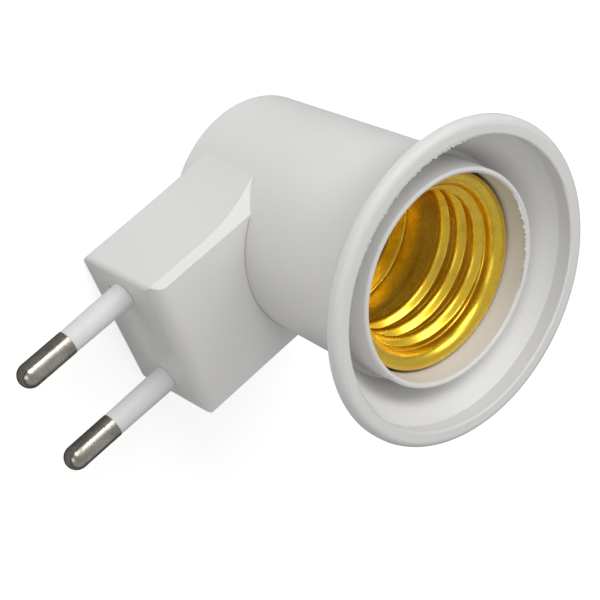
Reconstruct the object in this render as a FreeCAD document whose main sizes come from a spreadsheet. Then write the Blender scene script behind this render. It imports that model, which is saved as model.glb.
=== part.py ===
# Plug-in lamp socket adapter: a two-pin plug block on the side of a round barrel,
# with a flared bell mouth, an inner collar and a screw shell that takes a lamp.
# Frame: origin at the centre of the flat rear face, +Z out of the lamp mouth,
# -Y along the plug pins, X from the left pin to the right pin. Millimetres.
import FreeCAD, Part
import math
import os

import Sketcher

os.makedirs("parts", exist_ok=True)
doc = FreeCAD.newDocument("lamp_socket_adapter")
sheet = doc.addObject("Spreadsheet::Sheet", "Sizes")

LEFT = 1
RIGHT = -1

# Driving dimensions
SIZES = {
    # Screw shell for the lamp, from which the collar, the barrel and the bell grow outwards
    "shell_radius": 13.4,
    "shell_wall": 0.4,
    "shell_rim_drop": 6.9,
    "shell_flare": 1.1,
    "shell_curl": 0.6,
    "shell_corner": 1.0,
    "shell_neck_inset": 0.3,
    "shell_neck_length": 3.8,
    "shell_step_rise": 0.7,
    "shell_floor_width": 3.3,
    "shell_land": 0.85,
    "thread_inset": 0.2,
    "thread_depth": 0.95,
    "thread_pitch": 3.629,
    "thread_start_angle": -126.0,
    "thread_rise": 1.75,
    "thread_end_gap": 0.08,
    "thread_crest_half": 0.25,
    "thread_foot_half": 1.15,
    "thread_root": 0.2,
    # Inner collar and lamp well
    "collar_clearance": 0.9,
    "collar_wall": 0.9,
    "collar_drop": 3.0,
    "collar_draft": 0.15,
    "well_draft": 0.9,
    "well_floor_rise": 0.2,
    "ledge_thickness": 2.0,
    "ledge_width": 1.0,
    "lug_half_width": 3.2,
    "lug_reach": 2.9,
    # Barrel and bell mouth
    "overall_height": 48.2,
    "barrel_step": 0.35,
    "barrel_draft": 0.95,
    "mouth_gap": 5.65,
    "flare_rise": 16.1,
    "lip_width": 2.75,
    "lip_overhang": 1.04,
    "lip_depth": 2.6,
    "lip_side_depth": 1.7,
    "lip_round": 1.25,
    "lip_edge_round": 0.35,
    "valley_depth": 10.0,
    # Plug block
    "block_reach": 32.0,
    "block_thickness": 18.4,
    "block_side_margin": 4.4,
    "block_edge_cut": 1.5,
    "block_front_cut": 1.1,
    "block_flare_radius": 45.0,
    "block_root_inset": 0.15,
    "block_front_round": 2.6,
    "block_edge_round": 0.9,
    "block_wall": 2.0,
    "block_side_wall": 0.8,
    "pin_wall": 3.0,
    # Rear cover and its screws
    "cover_thickness": 2.0,
    "cover_gap": 0.1,
    "rim_wall": 1.2,
    "rear_wall": 1.8,
    "cover_screw_radius": 1.1,
    "cover_head_radius": 2.1,
    "cover_screw_length": 9.0,
    "cover_slot_width": 0.5,
    "cover_slot_depth": 0.5,
    "boss_radius": 2.5,
    "boss_sink": 0.2,
    # Plug pins
    "pin_spacing": 18.0,
    "pin_drop": 0.2,
    "pin_radius": 2.0,
    "pin_core_radius": 1.45,
    "pin_length": 21.2,
    "sleeve_length": 11.6,
    "sleeve_radius": 1.79,
    "sleeve_root": 2.0,
    "pin_flange_radius": 1.75,
    "pin_flange_thickness": 1.5,
    "pin_head_radius": 1.8,
    "pin_head_thickness": 0.8,
    "carrier_thickness": 6.0,
    "carrier_side_gap": 0.1,
    "carrier_end_gap": 1.2,
    # Contact base, contacts and rivets
    "base_gap": 0.2,
    "base_thickness": 2.8,
    "base_screw_radius": 0.95,
    "base_screw_head_radius": 1.8,
    "base_screw_head_height": 1.1,
    "base_screw_grip": 0.7,
    "base_screw_margin": 0.5,
    "spring_thickness": 0.4,
    "spring_half_width": 2.0,
    "spring_foot_half_length": 1.2,
    "spring_pad_half_length": 2.6,
    "spring_rise": 2.8,
    "button_radius": 1.9,
    "button_dome": 0.9,
    "button_shank_radius": 0.8,
    "button_head_radius": 1.2,
    "button_head_height": 0.4,
    "contact_rivet_margin": 0.35,
    "shell_rivet_margin": 1.3,
    "shell_rivet_angle": 31.0,
    "rivet_radius": 0.9,
    "rivet_head_radius": 1.15,
    "rivet_head_height": 0.6,
    # Current straps
    "strap_thickness": 0.5,
    "strap_gap": 0.1,
    "strap_edge": 0.35,
    "strap_riser_gap": 0.9,
    "strap_top_gap": 1.6,
    "strap_tab_drop": 2.4,
    "live_strap_end": 2.2,
    "neutral_strap_margin": 1.8,
    "running_gap": 0.05,
}

# Sizes worked out from the driving ones
DERIVED = {
    "shell_outer_radius": "shell_radius + shell_wall",
    "shell_rim_middle": "shell_outer_radius + shell_flare",
    "shell_rim_radius": "shell_rim_middle + shell_wall",
    "collar_inner_radius": "shell_rim_radius + collar_clearance",
    "collar_radius": "collar_inner_radius + collar_wall",
    "collar_foot_radius": "collar_radius + collar_draft",
    "barrel_front_radius": "collar_radius + barrel_step",
    "barrel_rear_radius": "barrel_front_radius - barrel_draft",
    "lip_inner_radius": "collar_radius + mouth_gap",
    "lip_radius": "lip_inner_radius + lip_width",
    "lip_back_height": "overall_height - lip_depth",
    "flare_start_height": "lip_back_height - flare_rise",
    "flare_end_radius": "lip_radius - lip_overhang",
    "flare_run": "flare_end_radius - barrel_front_radius",
    "flare_radius": "(flare_run ^ 2 + flare_rise ^ 2) / (2 * flare_run)",
    "flare_centre": "barrel_front_radius + flare_radius",
    "lip_side_start": "overall_height - lip_side_depth",
    "lip_round_start": "overall_height - lip_round",
    "lip_front_radius": "lip_radius - lip_round",
    "lip_edge_height": "overall_height - lip_edge_round",
    "lip_edge_radius": "lip_inner_radius + lip_edge_round",
    "funnel_radius": "sqrt((flare_centre - lip_inner_radius) ^ 2 + flare_rise ^ 2)",
    "valley_height": "overall_height - valley_depth",
    "valley_rise": "valley_height - flare_start_height",
    "valley_radius": "flare_centre - sqrt(funnel_radius ^ 2 - valley_rise ^ 2)",
    "above_mouth": "overall_height + 1",
    "collar_height": "overall_height - collar_drop",
    "collar_round": "collar_wall / 2",
    "collar_middle_radius": "collar_radius - collar_round",
    "collar_round_start": "collar_height - collar_round",
    "well_floor_height": "block_thickness + well_floor_rise",
    "well_floor_radius": "collar_inner_radius - well_draft",
    "ledge_height": "well_floor_height - ledge_thickness",
    "ledge_bore_radius": "well_floor_radius - ledge_width",
    "shell_neck_radius": "shell_radius - shell_neck_inset",
    "shell_hole_radius": "shell_neck_radius - shell_floor_width",
    "base_screw_offset": "shell_hole_radius - base_screw_head_radius - base_screw_margin",
    "lug_edge": "base_screw_offset - lug_reach",
    "lug_root": "sqrt(ledge_bore_radius ^ 2 - lug_half_width ^ 2)",
    "pin_offset": "pin_spacing / 2",
    "pin_height": "block_thickness / 2 - pin_drop",
    "block_half_width": "pin_offset + block_side_margin",
    "block_flat_half_width": "block_half_width - block_edge_cut",
    "block_front_half_width": "block_half_width - block_front_cut",
    "barrel_growth": "barrel_draft / flare_start_height",
    "block_root_rear": "barrel_rear_radius - block_root_inset",
    "block_root_front": "block_root_rear + barrel_growth * block_thickness",
    "flare_foot_across": "block_half_width + block_flare_radius",
    "flare_rear_reach": "block_root_rear + block_flare_radius",
    "flare_front_reach": "block_root_front + block_flare_radius",
    "flare_rear_foot": "sqrt(flare_rear_reach ^ 2 - flare_foot_across ^ 2)",
    "flare_front_foot": "sqrt(flare_front_reach ^ 2 - flare_foot_across ^ 2)",
    "rear_root_across": "block_root_rear * flare_foot_across / flare_rear_reach",
    "rear_root_along": "block_root_rear * flare_rear_foot / flare_rear_reach",
    "block_root_offset": "rear_root_along / 2",
    "front_root_across": "block_root_front * flare_foot_across / flare_front_reach",
    "front_root_along": "block_root_front * flare_front_foot / flare_front_reach",
    "chamfer_outer": "barrel_front_radius + 2",
    "chamfer_front_inner": "block_front_half_width - 1",
    "chamfer_rear_inner": "block_flat_half_width - 1",
    "chamfer_front_low": "block_thickness - (chamfer_outer - block_front_half_width)",
    "chamfer_rear_high": "chamfer_outer - block_flat_half_width",
    "above_block": "block_thickness + 1",
    "below_block": "1",
    "front_round_height": "block_thickness - block_front_round",
    "front_round_reach": "block_reach - block_front_round",
    "rear_round_reach": "block_reach - block_edge_round",
    "corner_half_width": "block_half_width - block_edge_round",
    "past_block": "block_reach + 1",
    "cavity_half_width": "block_flat_half_width - block_side_wall",
    "cavity_reach": "block_reach - pin_wall",
    "cavity_height": "block_thickness - block_wall",
    "rear_cavity_radius": "barrel_rear_radius - rear_wall",
    "rear_boss_offset": "rear_cavity_radius - boss_radius + boss_sink",
    "recess_radius": "barrel_rear_radius - rim_wall",
    "recess_reach": "block_reach - rim_wall",
    "cover_radius": "recess_radius - cover_gap",
    "cover_reach": "recess_reach - cover_gap",
    "cover_half_width": "cavity_half_width - cover_gap",
    "cover_waist": "sqrt(cover_radius ^ 2 - cover_half_width ^ 2)",
    "cover_hole_radius": "cover_screw_radius + running_gap",
    "cover_sink_radius": "cover_head_radius + running_gap",
    "cover_sink_height": "cover_sink_radius - cover_hole_radius",
    "cover_head_height": "cover_head_radius - cover_screw_radius",
    "cover_hole_top": "cover_screw_length + 0.5",
    "cover_slot_half": "cover_slot_width / 2",
    "boss_length": "ledge_height - cover_thickness",
    "carrier_back": "cavity_reach - carrier_thickness",
    "carrier_half_width": "cavity_half_width - carrier_side_gap",
    "carrier_half_height": "(cavity_height - cover_thickness) / 2 - carrier_end_gap",
    "carrier_bottom": "pin_height - carrier_half_height",
    "carrier_height": "carrier_half_height * 2",
    "front_boss_offset": "carrier_back - boss_radius",
    "sleeve_inner": "block_reach - sleeve_root",
    "sleeve_outer": "block_reach + sleeve_length",
    "sleeve_hole_radius": "sleeve_radius + running_gap",
    "pin_hole_radius": "pin_core_radius + running_gap",
    "pin_tip": "block_reach + pin_length",
    "pin_tip_round": "pin_tip - pin_radius",
    "pin_flange_back": "cavity_reach - pin_flange_thickness",
    "flange_hole_radius": "pin_flange_radius + running_gap",
    "strap_tab_back": "carrier_back - strap_thickness",
    "pin_end": "strap_tab_back - pin_head_thickness",
    "strap_outer": "cavity_half_width - strap_gap",
    "strap_hole_limit": "strap_outer - rivet_hole_radius - strap_edge",
    "strap_level": "cavity_height - strap_top_gap",
    "strap_level_low": "strap_level - strap_thickness",
    "strap_riser_offset": "sqrt(ledge_bore_radius ^ 2 - strap_outer ^ 2) - strap_riser_gap",
    "strap_tab_bottom": "pin_height - strap_tab_drop",
    "strap_riser_back": "strap_riser_offset - strap_thickness",
    "strap_top": "well_floor_height",
    "strap_bottom": "well_floor_height - strap_thickness",
    "base_top": "well_floor_height + base_thickness",
    "shell_floor_top": "base_top + shell_wall",
    "shell_neck_outer": "shell_neck_radius + shell_wall",
    "shell_corner_radius": "shell_neck_outer - shell_corner",
    "shell_corner_height": "base_top + shell_corner",
    "shell_neck_top": "shell_corner_height + shell_neck_length",
    "shell_wall_start": "shell_neck_top + shell_step_rise",
    "shell_inner_corner": "shell_corner - shell_wall",
    "shell_rim_height": "overall_height - shell_rim_drop",
    "shell_rim_inner": "shell_flare + shell_wall",
    "shell_flare_start": "shell_rim_height - shell_rim_inner",
    "shell_rim_under": "shell_rim_height - shell_wall",
    "shell_land_start": "shell_flare_start - shell_land",
    "thread_radius": "shell_radius - thread_inset",
    "thread_outer_radius": "thread_radius + shell_wall",
    "thread_wall_top": "shell_land_start - thread_inset",
    "thread_base_radius": "thread_radius + thread_root",
    "thread_crest_radius": "thread_radius - thread_depth",
    "thread_middle": "shell_wall_start + thread_rise",
    "thread_last": "shell_land_start - thread_end_gap - thread_foot_half",
    "thread_turns": "(thread_last - thread_middle) / thread_pitch",
    "thread_slope": "(thread_foot_half - thread_crest_half) / thread_depth",
    "thread_base_half": "thread_foot_half + thread_slope * thread_root",
    "thread_base_low": "thread_middle - thread_base_half",
    "thread_base_high": "thread_middle + thread_base_half",
    "thread_crest_low": "thread_middle - thread_crest_half",
    "thread_crest_high": "thread_middle + thread_crest_half",
    "channel_shift": "shell_wall * sqrt(1 + thread_slope ^ 2)",
    "channel_radius": "thread_crest_radius + shell_wall",
    "channel_mouth_radius": "thread_outer_radius + thread_root",
    "channel_floor_half": "thread_crest_half + thread_slope * shell_wall - channel_shift",
    "channel_mouth_half": "thread_foot_half + thread_slope * (shell_wall + thread_root) - channel_shift",
    "channel_floor_low": "thread_middle - channel_floor_half",
    "channel_floor_high": "thread_middle + channel_floor_half",
    "channel_mouth_low": "thread_middle - channel_mouth_half",
    "channel_mouth_high": "thread_middle + channel_mouth_half",
    "shell_curl_height": "shell_rim_under - shell_curl",
    "base_hole_radius": "base_screw_radius + running_gap",
    "base_screw_top": "base_top + base_screw_head_height",
    "base_screw_tip": "ledge_height - base_screw_grip",
    "base_radius": "well_floor_radius - base_gap",
    "contact_rivet_reach": "shell_hole_radius - rivet_head_radius - contact_rivet_margin",
    "contact_rivet_offset": "min(contact_rivet_reach; strap_hole_limit)",
    "shell_rivet_circle": "shell_hole_radius + shell_rivet_margin",
    "shell_rivet_reach": "shell_rivet_circle * cos(shell_rivet_angle * 1 deg)",
    "shell_rivet_across": "min(shell_rivet_reach; strap_hole_limit)",
    "shell_rivet_along": "sqrt(shell_rivet_circle ^ 2 - shell_rivet_across ^ 2)",
    "neutral_strap_end": "shell_rivet_along - neutral_strap_margin",
    "spring_foot_top": "base_top + spring_thickness",
    "spring_foot_inner": "contact_rivet_offset - spring_foot_half_length",
    "spring_foot_outer": "contact_rivet_offset + spring_foot_half_length",
    "spring_pad_bottom": "base_top + spring_rise",
    "spring_pad_top": "spring_pad_bottom + spring_thickness",
    "spring_width": "spring_half_width * 2",
    "button_hole_radius": "button_shank_radius + running_gap",
    "button_head_bottom": "spring_pad_bottom - button_head_height",
    "button_top": "spring_pad_top + button_dome",
    "button_dome_radius": "(button_radius ^ 2 + button_dome ^ 2) / (2 * button_dome)",
    "rivet_hole_radius": "rivet_radius + running_gap",
    "strap_hole_inner": "min(contact_rivet_offset; pin_offset + rivet_hole_radius - pin_hole_radius)",
    "strap_inner": "strap_hole_inner - rivet_hole_radius - strap_edge",
    "strap_middle": "(strap_inner + strap_outer) / 2",
    "strap_width": "strap_outer - strap_inner",
    "live_pin_across": "strap_middle - pin_offset",
    "neutral_pin_across": "pin_offset - strap_middle",
    "live_hole_across": "strap_middle - contact_rivet_offset",
    "neutral_hole_across": "shell_rivet_across - strap_middle",
    "strap_rivet_low": "strap_bottom - rivet_head_height",
    "base_rivet_low": "well_floor_height - rivet_head_height",
    "shell_rivet_top": "shell_floor_top + rivet_head_height",
    "spring_rivet_top": "spring_foot_top + rivet_head_height",
}


# Size sheet
def fill_sheet():
    row = 1
    for alias, number in SIZES.items():
        write_cell(row, alias, str(number))
        row += 1
    for alias, formula in DERIVED.items():
        write_cell(row, alias, "=" + formula)
        row += 1
    doc.recompute()


def write_cell(row, alias, content):
    sheet.set(f"A{row}", alias)
    sheet.set(f"B{row}", content)
    sheet.setAlias(f"B{row}", alias)


# A term is the name of a size, the same with a minus before it, or "0"
def value(term):
    if term == "0":
        return 0.0
    number = float(sheet.get(term.lstrip("-")))
    return -number if term.startswith("-") else number


def bound(term):
    sign = "-" if term.startswith("-") else ""
    return sign + "Sizes." + term.lstrip("-")


# Bodies and sketches
def new_body(label, x="0", y="0", z="0"):
    body = doc.addObject("PartDesign::Body", label)
    body.Label = label
    for axis, term in zip("xyz", (x, y, z)):
        if term != "0":
            body.setExpression(f"Placement.Base.{axis}", bound(term))
    return body


def new_sketch(body, name, plane, offset="0"):
    sketch = body.newObject("Sketcher::SketchObject", name)
    supports = [item for item in body.Origin.OriginFeatures if item.Role == plane]
    sketch.AttachmentSupport = [(supports[0], "")]
    sketch.MapMode = "FlatFace"
    if offset != "0":
        sketch.setExpression("AttachmentOffset.Base.z", bound(offset))
    return sketch


def fix_point(sketch, edge, end, across, up):
    for kind, axis_line, term in (("DistanceX", -2, across), ("DistanceY", -1, up)):
        if term == "0":
            sketch.addConstraint(Sketcher.Constraint("PointOnObject", edge, end, axis_line))
        else:
            rule = Sketcher.Constraint(kind, -1, 1, edge, end, value(term))
            index = sketch.addConstraint(rule)
            sketch.setExpression(f"Constraints[{index}]", bound(term))


def fix_radius(sketch, edge, term):
    index = sketch.addConstraint(Sketcher.Constraint("Radius", edge, value(term)))
    sketch.setExpression(f"Constraints[{index}]", bound(term))


# Short arc that leaves a point and turns left or right to the next one
def arc_between(here, there, radius, turn):
    chord = there - here
    rise = math.sqrt(max(radius ** 2 - chord.Length ** 2 / 4, 0))
    aside = FreeCAD.Vector(-chord.y, chord.x, 0) * (turn / chord.Length)
    centre = (here + there) * 0.5 + aside * rise
    circle = Part.Circle(centre, FreeCAD.Vector(0, 0, 1), radius)
    first = math.atan2(here.y - centre.y, here.x - centre.x)
    last = math.atan2(there.y - centre.y, there.x - centre.x)
    if turn == LEFT:
        return Part.ArcOfCircle(circle, first, last), 1, 2
    return Part.ArcOfCircle(circle, last, first), 2, 1


# Closed outline through named points. A point with a radius and a turn starts an arc.
def outline(sketch, path):
    corners = [FreeCAD.Vector(value(point[0]), value(point[1]), 0) for point in path]
    edges = []
    for index, point in enumerate(path):
        here = corners[index]
        there = corners[(index + 1) % len(path)]
        if len(point) == 2:
            shape, first, last = Part.LineSegment(here, there), 1, 2
        else:
            shape, first, last = arc_between(here, there, value(point[2]), point[3])
        edges.append((sketch.addGeometry(shape, False), first, last))
    for index, point in enumerate(path):
        edge, first, last = edges[index]
        next_edge, next_first, next_last = edges[(index + 1) % len(path)]
        sketch.addConstraint(Sketcher.Constraint("Coincident", edge, last, next_edge, next_first))
        fix_point(sketch, edge, first, point[0], point[1])
        if len(point) == 4:
            fix_radius(sketch, edge, point[2])


def circle(sketch, across, up, radius):
    centre = FreeCAD.Vector(value(across), value(up), 0)
    shape = Part.Circle(centre, FreeCAD.Vector(0, 0, 1), value(radius))
    edge = sketch.addGeometry(shape, False)
    fix_point(sketch, edge, 3, across, up)
    fix_radius(sketch, edge, radius)


# Features. Each one is worked out at once and must change the volume the right way.
def finish_feature(body, feature, grows, before):
    doc.recompute()
    change = body.Shape.Volume - before
    if feature.State and ("Invalid" in feature.State or "Error" in feature.State):
        raise RuntimeError(f"{feature.Name}: {feature.State}")
    if (change > 0) != grows or abs(change) < 1e-6:
        raise RuntimeError(f"{feature.Name} changed the volume by {change:.6f}")
    return feature


def volume_of(body):
    return 0.0 if body.Shape.isNull() else body.Shape.Volume


def pad(body, sketch, length, symmetric=False, reverse=False):
    before = volume_of(body)
    feature = body.newObject("PartDesign::Pad", sketch.Name + "_pad")
    feature.Profile = sketch
    feature.setExpression("Length", bound(length))
    if symmetric:
        feature.SideType = "Symmetric"
    feature.Reversed = reverse
    return finish_feature(body, feature, True, before)


def pocket(body, sketch, length="0", symmetric=False, reverse=False):
    before = volume_of(body)
    feature = body.newObject("PartDesign::Pocket", sketch.Name + "_pocket")
    feature.Profile = sketch
    if length == "0":
        feature.Type = "ThroughAll"
    else:
        feature.setExpression("Length", bound(length))
    if symmetric:
        feature.SideType = "Symmetric"
    feature.Reversed = reverse
    return finish_feature(body, feature, False, before)


def revolve(body, sketch):
    before = volume_of(body)
    feature = body.newObject("PartDesign::Revolution", sketch.Name + "_turn")
    feature.Profile = sketch
    feature.ReferenceAxis = (sketch, ["V_Axis"])
    return finish_feature(body, feature, True, before)


def groove(body, sketch):
    before = volume_of(body)
    feature = body.newObject("PartDesign::Groove", sketch.Name + "_groove")
    feature.Profile = sketch
    feature.ReferenceAxis = (sketch, ["V_Axis"])
    return finish_feature(body, feature, False, before)


# Ridge or channel that climbs round Z from a start angle, right-handed
def helix(body, name, path, pitch, turns, start_angle, grows):
    before = volume_of(body)
    sketch = new_sketch(body, name + "_profile", "XZ_Plane")
    turn = FreeCAD.Rotation(FreeCAD.Vector(0, 1, 0), value(start_angle))
    sketch.AttachmentOffset = FreeCAD.Placement(FreeCAD.Vector(), turn)
    sketch.setExpression("AttachmentOffset.Rotation.Angle", bound(start_angle) + " * 1 deg")
    outline(sketch, path)
    kind = "Additive" if grows else "Subtractive"
    feature = body.newObject("PartDesign::" + kind + "Helix", name)
    feature.Profile = sketch
    feature.ReferenceAxis = (sketch, ["V_Axis"])
    feature.Mode = "pitch-turns-angle"
    feature.setExpression("Pitch", bound(pitch))
    feature.setExpression("Turns", bound(turns))
    return finish_feature(body, feature, grows, before)


def turned(label, path, x="0", y="0", z="0", plane="XZ_Plane"):
    body = new_body(label, x, y, z)
    sketch = new_sketch(body, label + "_profile", plane)
    outline(sketch, path)
    revolve(body, sketch)
    return body


def cut_round(body, name, offset, path):
    sketch = new_sketch(body, name, "XZ_Plane", offset)
    outline(sketch, path)
    return groove(body, sketch)


def cut_circles(body, name, plane, offset, circles, length="0", reverse=False):
    sketch = new_sketch(body, name, plane, offset)
    for across, up, radius in circles:
        circle(sketch, across, up, radius)
    return pocket(body, sketch, length, reverse=reverse)


def mirrored(path):
    swapped = []
    for across, up in path:
        swapped.append((across[1:] if across.startswith("-") else "-" + across, up))
    return swapped


# Housing: plug block, barrel and bell in one moulding
# The sides run straight from the pins, then curve out until they touch the barrel
def block_outline(body, name, end, offset):
    foot, across, along = "flare_" + end + "_foot", end + "_root_across", end + "_root_along"
    sketch = new_sketch(body, name, "XY_Plane", offset)
    path = [
        ("-corner_half_width", "-block_reach"),
        ("corner_half_width", "-block_reach", "block_edge_round", LEFT),
        ("block_half_width", "-rear_round_reach"),
        ("block_half_width", "-" + foot, "block_flare_radius", RIGHT),
        (across, "-" + along),
        (across, "-block_root_offset"),
        ("-" + across, "-block_root_offset"),
        ("-" + across, "-" + along, "block_flare_radius", RIGHT),
        ("-block_half_width", "-" + foot),
        ("-block_half_width", "-rear_round_reach", "block_edge_round", LEFT),
    ]
    outline(sketch, path)
    return sketch


def add_block(body):
    rear = block_outline(body, "block_rear", "rear", "0")
    front = block_outline(body, "block_front", "front", "block_thickness")
    loft = body.newObject("PartDesign::AdditiveLoft", "block_loft")
    loft.Profile = rear
    loft.Sections = [front]
    loft.Ruled = True
    finish_feature(body, loft, True, 0.0)
    chamfer_block(body)
    round_pin_face(body)


# The long front and rear edges of the block are cut off at 45 degrees
def chamfer_block(body):
    front = [
        ("chamfer_front_inner", "above_block"),
        ("chamfer_outer", "chamfer_front_low"),
        ("chamfer_outer", "above_block"),
    ]
    rear = [
        ("chamfer_rear_inner", "-below_block"),
        ("chamfer_outer", "-below_block"),
        ("chamfer_outer", "chamfer_rear_high"),
    ]
    sketch = new_sketch(body, "block_edges", "XZ_Plane")
    for path in (front, rear):
        outline(sketch, path)
        outline(sketch, mirrored(path))
    pocket(body, sketch, symmetric=True)


def round_pin_face(body):
    sketch = new_sketch(body, "pin_face_edges", "YZ_Plane")
    front = [
        ("-past_block", "front_round_height"),
        ("-block_reach", "front_round_height", "block_front_round", RIGHT),
        ("-front_round_reach", "block_thickness"),
        ("-front_round_reach", "above_block"),
        ("-past_block", "above_block"),
    ]
    rear = [
        ("-past_block", "-below_block"),
        ("-rear_round_reach", "-below_block"),
        ("-rear_round_reach", "0", "block_edge_round", RIGHT),
        ("-block_reach", "block_edge_round"),
        ("-past_block", "block_edge_round"),
    ]
    outline(sketch, front)
    outline(sketch, rear)
    pocket(body, sketch, symmetric=True)


def add_barrel(body):
    path = [
        ("0", "0"),
        ("barrel_rear_radius", "0"),
        ("barrel_front_radius", "flare_start_height", "flare_radius", RIGHT),
        ("flare_end_radius", "lip_back_height"),
        ("lip_radius", "lip_side_start"),
        ("lip_radius", "lip_round_start", "lip_round", LEFT),
        ("lip_front_radius", "overall_height"),
        ("0", "overall_height"),
    ]
    sketch = new_sketch(body, "barrel", "XZ_Plane")
    outline(sketch, path)
    revolve(body, sketch)


# The well for the lamp, its standing collar and the funnel round the collar
def cut_lamp_well(body):
    path = [
        ("0", "well_floor_height"),
        ("well_floor_radius", "well_floor_height"),
        ("collar_inner_radius", "collar_round_start", "collar_round", RIGHT),
        ("collar_middle_radius", "collar_height", "collar_round", RIGHT),
        ("collar_radius", "collar_round_start"),
        ("collar_foot_radius", "valley_height"),
        ("valley_radius", "valley_height", "funnel_radius", RIGHT),
        ("lip_inner_radius", "lip_back_height"),
        ("lip_inner_radius", "lip_edge_height", "lip_edge_round", RIGHT),
        ("lip_edge_radius", "overall_height"),
        ("lip_edge_radius", "above_mouth"),
        ("0", "above_mouth"),
    ]
    cut_round(body, "lamp_well", "0", path)


def cut_wiring_space(body):
    path = [
        ("0", "0"),
        ("recess_radius", "0"),
        ("recess_radius", "cover_thickness"),
        ("rear_cavity_radius", "cover_thickness"),
        ("rear_cavity_radius", "ledge_height"),
        ("0", "ledge_height"),
    ]
    cut_round(body, "wiring_space", "0", path)
    for name, reach, height in (
        ("block_recess", "recess_reach", "cover_thickness"),
        ("block_cavity", "cavity_reach", "cavity_height"),
    ):
        sketch = new_sketch(body, name, "XY_Plane")
        outline(sketch, [
            ("-cavity_half_width", "-" + reach),
            ("cavity_half_width", "-" + reach),
            ("cavity_half_width", "0"),
            ("-cavity_half_width", "0"),
        ])
        pocket(body, sketch, height, reverse=True)


# The ledge carries the contact base and has two lugs for its screws
def cut_ledge(body):
    path = [
        ("lug_half_width", "-lug_root", "ledge_bore_radius", LEFT),
        ("ledge_bore_radius", "0", "ledge_bore_radius", LEFT),
        ("lug_half_width", "lug_root"),
        ("lug_half_width", "lug_edge"),
        ("-lug_half_width", "lug_edge"),
        ("-lug_half_width", "lug_root", "ledge_bore_radius", LEFT),
        ("-ledge_bore_radius", "0", "ledge_bore_radius", LEFT),
        ("-lug_half_width", "-lug_root"),
        ("-lug_half_width", "-lug_edge"),
        ("lug_half_width", "-lug_edge"),
    ]
    sketch = new_sketch(body, "ledge_bore", "XY_Plane", "ledge_height")
    outline(sketch, path)
    pocket(body, sketch, "ledge_thickness", reverse=True)
    holes = [("0", side + "base_screw_offset", "base_hole_radius") for side in ("", "-")]
    cut_circles(body, "lug_holes", "XY_Plane", "ledge_height", holes, "ledge_thickness", True)


def add_bosses(body):
    sketch = new_sketch(body, "bosses", "XY_Plane", "cover_thickness")
    circle(sketch, "0", "-front_boss_offset", "boss_radius")
    circle(sketch, "0", "rear_boss_offset", "boss_radius")
    pad(body, sketch, "boss_length")
    hole = [
        ("0", "0"),
        ("cover_hole_radius", "0"),
        ("cover_hole_radius", "cover_hole_top"),
        ("0", "cover_hole_top"),
    ]
    cut_round(body, "front_boss_hole", "front_boss_offset", hole)
    cut_round(body, "rear_boss_hole", "-rear_boss_offset", hole)


def cut_pin_holes(body):
    for name, radius, length in (
        ("sleeve_holes", "sleeve_hole_radius", "sleeve_root"),
        ("pin_holes", "pin_hole_radius", "pin_wall"),
    ):
        holes = [(side + "pin_offset", "pin_height", radius) for side in ("-", "")]
        cut_circles(body, name, "XZ_Plane", "block_reach", holes, length)


def make_housing():
    body = new_body("housing")
    add_block(body)
    add_barrel(body)
    cut_lamp_well(body)
    cut_wiring_space(body)
    cut_ledge(body)
    add_bosses(body)
    cut_pin_holes(body)


# Keyhole plate that closes the rear, flush with the housing
def make_rear_cover():
    body = new_body("rear_cover")
    sketch = new_sketch(body, "cover_outline", "XY_Plane")
    outline(sketch, [
        ("-cover_half_width", "-cover_reach"),
        ("cover_half_width", "-cover_reach"),
        ("cover_half_width", "-cover_waist", "cover_radius", LEFT),
        ("0", "cover_radius", "cover_radius", LEFT),
        ("-cover_half_width", "-cover_waist"),
    ])
    pad(body, sketch, "cover_thickness")
    seat = [
        ("0", "0"),
        ("cover_sink_radius", "0"),
        ("cover_hole_radius", "cover_sink_height"),
        ("cover_hole_radius", "cover_thickness"),
        ("0", "cover_thickness"),
    ]
    cut_round(body, "front_screw_seat", "front_boss_offset", seat)
    cut_round(body, "rear_screw_seat", "-rear_boss_offset", seat)


# Countersunk screws of the rear cover, with a slot across the head
def make_cover_screw(label, y):
    body = turned(label, [
        ("0", "0"),
        ("cover_head_radius", "0"),
        ("cover_screw_radius", "cover_head_height"),
        ("cover_screw_radius", "cover_screw_length"),
        ("0", "cover_screw_length"),
    ], y=y)
    sketch = new_sketch(body, label + "_slot", "XZ_Plane")
    outline(sketch, [
        ("-cover_slot_half", "-below_block"),
        ("cover_slot_half", "-below_block"),
        ("cover_slot_half", "cover_slot_depth"),
        ("-cover_slot_half", "cover_slot_depth"),
    ])
    pocket(body, sketch, symmetric=True)


# Insulating disc on the ledge
def make_contact_base():
    body = new_body("contact_base")
    sketch = new_sketch(body, "base_disc", "XY_Plane", "well_floor_height")
    circle(sketch, "0", "0", "base_radius")
    pad(body, sketch, "base_thickness")
    holes = [
        ("0", "base_screw_offset", "base_hole_radius"),
        ("0", "-base_screw_offset", "base_hole_radius"),
        ("-contact_rivet_offset", "0", "rivet_hole_radius"),
        ("shell_rivet_across", "-shell_rivet_along", "rivet_hole_radius"),
        ("-shell_rivet_across", "shell_rivet_along", "rivet_hole_radius"),
    ]
    cut_circles(body, "base_holes", "XY_Plane", "well_floor_height", holes, "base_thickness", True)


def make_base_screw(label, y):
    turned(label, [
        ("0", "base_screw_tip"),
        ("base_screw_radius", "base_screw_tip"),
        ("base_screw_radius", "base_top"),
        ("base_screw_head_radius", "base_top"),
        ("base_screw_head_radius", "base_screw_top"),
        ("0", "base_screw_top"),
    ], y=y)


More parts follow.
